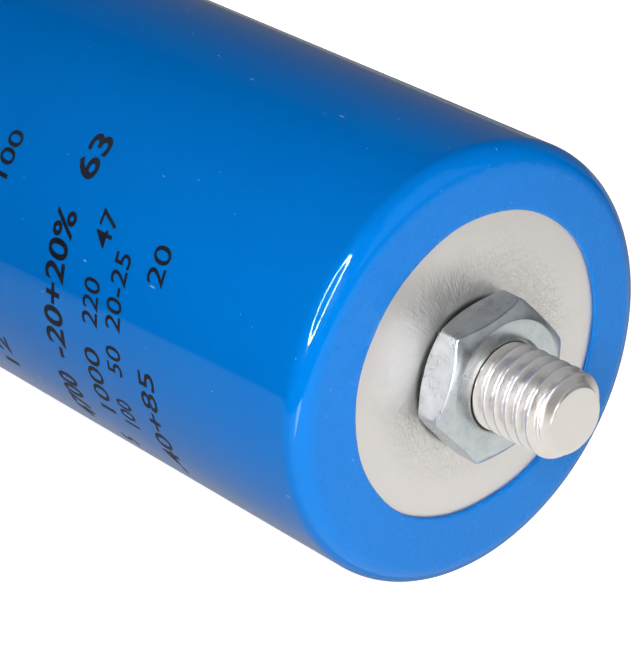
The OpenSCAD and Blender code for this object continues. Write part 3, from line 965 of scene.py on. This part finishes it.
# the ink's face stands just proud of the film and its back lies just inside it
INK_R, INK_BACK_R, CUT_STEP = FILM_R + 0.012, FILM_R - 0.02, 0.4
ink = stamped_ink()
PRINT_LINES = [
    # baseline x, height of the figures, weight, then each group with its ends in degrees
    (-41.7, 1.9, 0.012, [("50 60 100", 88, 49), ("12", 118, 107)]),
    (-31.35, 2.6, 0.022, [("4700", 124, 107), ("-20+20%", 101.5, 61), ("63", 52.5, 40.3)]),
    (-26.35, 2.1, 0.008, [("5", 127, 124), ("1000", 113, 93), ("220", 86.5, 74), ("47", 66, 56.5)]),
    (-23.2, 2.0, 0.008, [("100", 114, 105), ("50", 97, 89), ("20-25", 84.5, 64.4)]),
    (-18.75, 2.1, 0.008, [("-40+85", 126, 91.2), ("20", 68.3, 58.3)]),
]
for row, (line_x, height, weight, groups) in enumerate(PRINT_LINES):
    for column, (figures, left, right) in enumerate(groups):
        text = bpy.data.curves.new("figures", "FONT")
        text.body = figures
        text.offset = weight
        text.extrude = 0.004
        text.resolution_u = 4
        writing = bpy.data.objects.new("writing", text)
        bpy.context.collection.objects.link(writing)
        bpy.context.view_layer.update()
        evaluated = writing.evaluated_get(bpy.context.evaluated_depsgraph_get())
        mesh = bpy.data.meshes.new_from_object(evaluated)
        bpy.data.objects.remove(writing)
        work = bmesh.new()
        work.from_mesh(mesh)
        bmesh.ops.remove_doubles(work, verts=work.verts, dist=1e-5)
        low = min(v.co.x for v in work.verts)
        high = max(v.co.x for v in work.verts)
        tall = max(v.co.y for v in work.verts)
        # cut the flat figures into narrow strips, so that they bend smoothly round the sleeve
        strips = 2 + int(math.radians(left - right) * FILM_R / CUT_STEP)
        for cut in np.linspace(low, high, strips)[1:-1]:
            bmesh.ops.bisect_plane(
                work, geom=work.verts[:] + work.edges[:] + work.faces[:],
                plane_co=(cut, 0, 0), plane_no=(1, 0, 0),
            )
        for v in work.verts:
            at = math.radians(left + (right - left) * (v.co.x - low) / (high - low))
            radius = INK_R if v.co.z > 0 else INK_BACK_R
            v.co = Vector((
                line_x - v.co.y / tall * height, -radius * math.sin(at), radius * math.cos(at)
            )) * MM
        bmesh.ops.recalc_face_normals(work, faces=work.faces)
        work.to_mesh(mesh)
        work.free()
        mesh.materials.clear()
        mesh.materials.append(ink)
        mesh.name = f"print_{row}_{column}"
        piece = bpy.data.objects.new(mesh.name, mesh)
        bpy.context.collection.objects.link(piece)
        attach(piece, "root")

# ---------------------------------------------------------------------------
# Nut. A thin steel M8 nut, zinc plated and blue passivated, bevelled on both faces and
# countersunk, tightened against the bare base.


def zinc_plate():
    """Bright zinc over rolled steel: cool silver, with fine scuffs and a soft mottle."""
    material, tree = empty_material("zinc_plated_steel")
    place = node(tree, "ShaderNodeTexCoord").outputs["Object"]
    # the mottle of the passivation, about 1.4 mm
    cloud = node(
        tree, "ShaderNodeTexNoise", {"Scale": 700.0, "Detail": 6.0, "Roughness": 0.65},
        {"Vector": place},
    )
    mottle = node(
        tree, "ShaderNodeMapRange", {"From Min": 0.32, "From Max": 0.68},
        {"Value": cloud.outputs["Fac"]},
    )
    # scuffs left by barrel plating, about 0.2 to 0.3 mm across and 1 mm long
    scuff_place = node(
        tree, "ShaderNodeMapping", {"Scale": (900, 4500, 3000), "Rotation": (0.5, 0.3, 0.8)},
        {"Vector": place},
    )
    scuff = node(
        tree, "ShaderNodeTexNoise", {"Scale": 1.0, "Detail": 3.0}, {"Vector": scuff_place.outputs[0]}
    )
    bump = node(
        tree, "ShaderNodeBump", {"Strength": 0.2, "Distance": 0.004 * MM},
        {"Height": scuff.outputs["Fac"]},
    )
    colour = node(
        tree, "ShaderNodeMix",
        {"data_type": "RGBA", 6: linear("#B6BDC0"), 7: linear("#CDD3D5")},
        {0: mottle.outputs["Result"]},
    )
    tone = node(
        tree, "ShaderNodeMapRange", {"To Min": 0.25, "To Max": 0.35},
        {"Value": mottle.outputs["Result"]},
    )
    shade = node(
        tree, "ShaderNodeBsdfPrincipled", {"Metallic": 1.0},
        {
            "Base Color": colour.outputs[2], "Roughness": tone.outputs["Result"],
            "Normal": bump.outputs[0],
        },
    )
    node(tree, "ShaderNodeOutputMaterial", links={"Surface": shade.outputs[0]})
    return material


NUT_AF, NUT_FACE_R, NUT_CHAMFER, NUT_TURN = 13.0, 5.9, 1.0, -20
NUT_MOUTH_R, NUT_CORE_R, CORNER_ROUND, NUT_EDGE = 4.25, 3.6, 0.7, 0.07
COS_30 = math.cos(math.radians(30))
corner_r = NUT_AF / 2 / COS_30
# each corner is rounded about a centre at round_at, and its round ends round_end degrees off it
round_at = (NUT_AF / 2 - CORNER_ROUND) / COS_30
round_end = math.degrees(math.atan(CORNER_ROUND * 0.5 / (round_at + CORNER_ROUND * COS_30)))
off_corner = sorted(
    {-round_end * k for k in (1, 0.75, 0.5, 0.25)} | {round_end * k for k in (0, 0.25, 0.5, 0.75, 1)}
    | set(np.linspace(round_end + 1, 59 - round_end, 25))
)
columns, reach_out = [], []
for corner in range(6):
    for off in off_corner:
        from_corner = math.radians(min(abs(off), abs(60 - off)))
        if abs(off) <= round_end:
            far = round_at * math.cos(from_corner) + math.sqrt(
                CORNER_ROUND ** 2 - (round_at * math.sin(from_corner)) ** 2
            )
        else:
            far = NUT_AF / 2 / math.cos(math.radians(30) - from_corner)
        columns.append(math.radians(NUT_TURN + 60 * corner + off))
        reach_out.append(far)
reach_out = np.array(reach_out)
# the turned bevel drops away from the face with distance from the axis, which curves its edge
slope = NUT_CHAMFER / (corner_r - NUT_FACE_R)
drop = (reach_out - NUT_FACE_R) * slope


def nut_half(face_x, into):
    """The rings of one face of the nut, from its bore to the edge of its flats."""
    return [
        (face_x + into * NUT_SINK, NUT_CORE_R),
        (face_x + into * 0.03, NUT_MOUTH_R - 0.05),
        (face_x, NUT_MOUTH_R + 0.02),
        (face_x, (NUT_MOUTH_R + NUT_FACE_R) / 2),
        (face_x, NUT_FACE_R - 0.04),
        (face_x + into * 0.015, NUT_FACE_R + 0.03),
        (face_x + into * (drop - NUT_EDGE * slope), reach_out - NUT_EDGE),
        (face_x + into * (drop - NUT_EDGE * slope + 0.07), reach_out - 0.02),
        (face_x + into * (drop + 0.1), reach_out),
    ]


nut_rings = nut_half(NUT_X, -1) + nut_half(BASE_X, 1)[::-1]
nut_rings.append(nut_rings[0])
nut = turned("plated_nut", nut_rings, [zinc_plate()], np.array(columns), sharp=50)
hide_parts("hex_nut")
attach(nut, "root")

# ---------------------------------------------------------------------------
# Boards. The studio's white boards are seen in the bare metal, the cover and its plug only,
# so that the blue film round them stays deep.
boarded = bpy.data.collections.new("boarded")
for piece in [can, nut, cover, plug] + terminals:
    boarded.objects.link(piece)
for board in boards:
    board.light_linking.receiver_collection = boarded
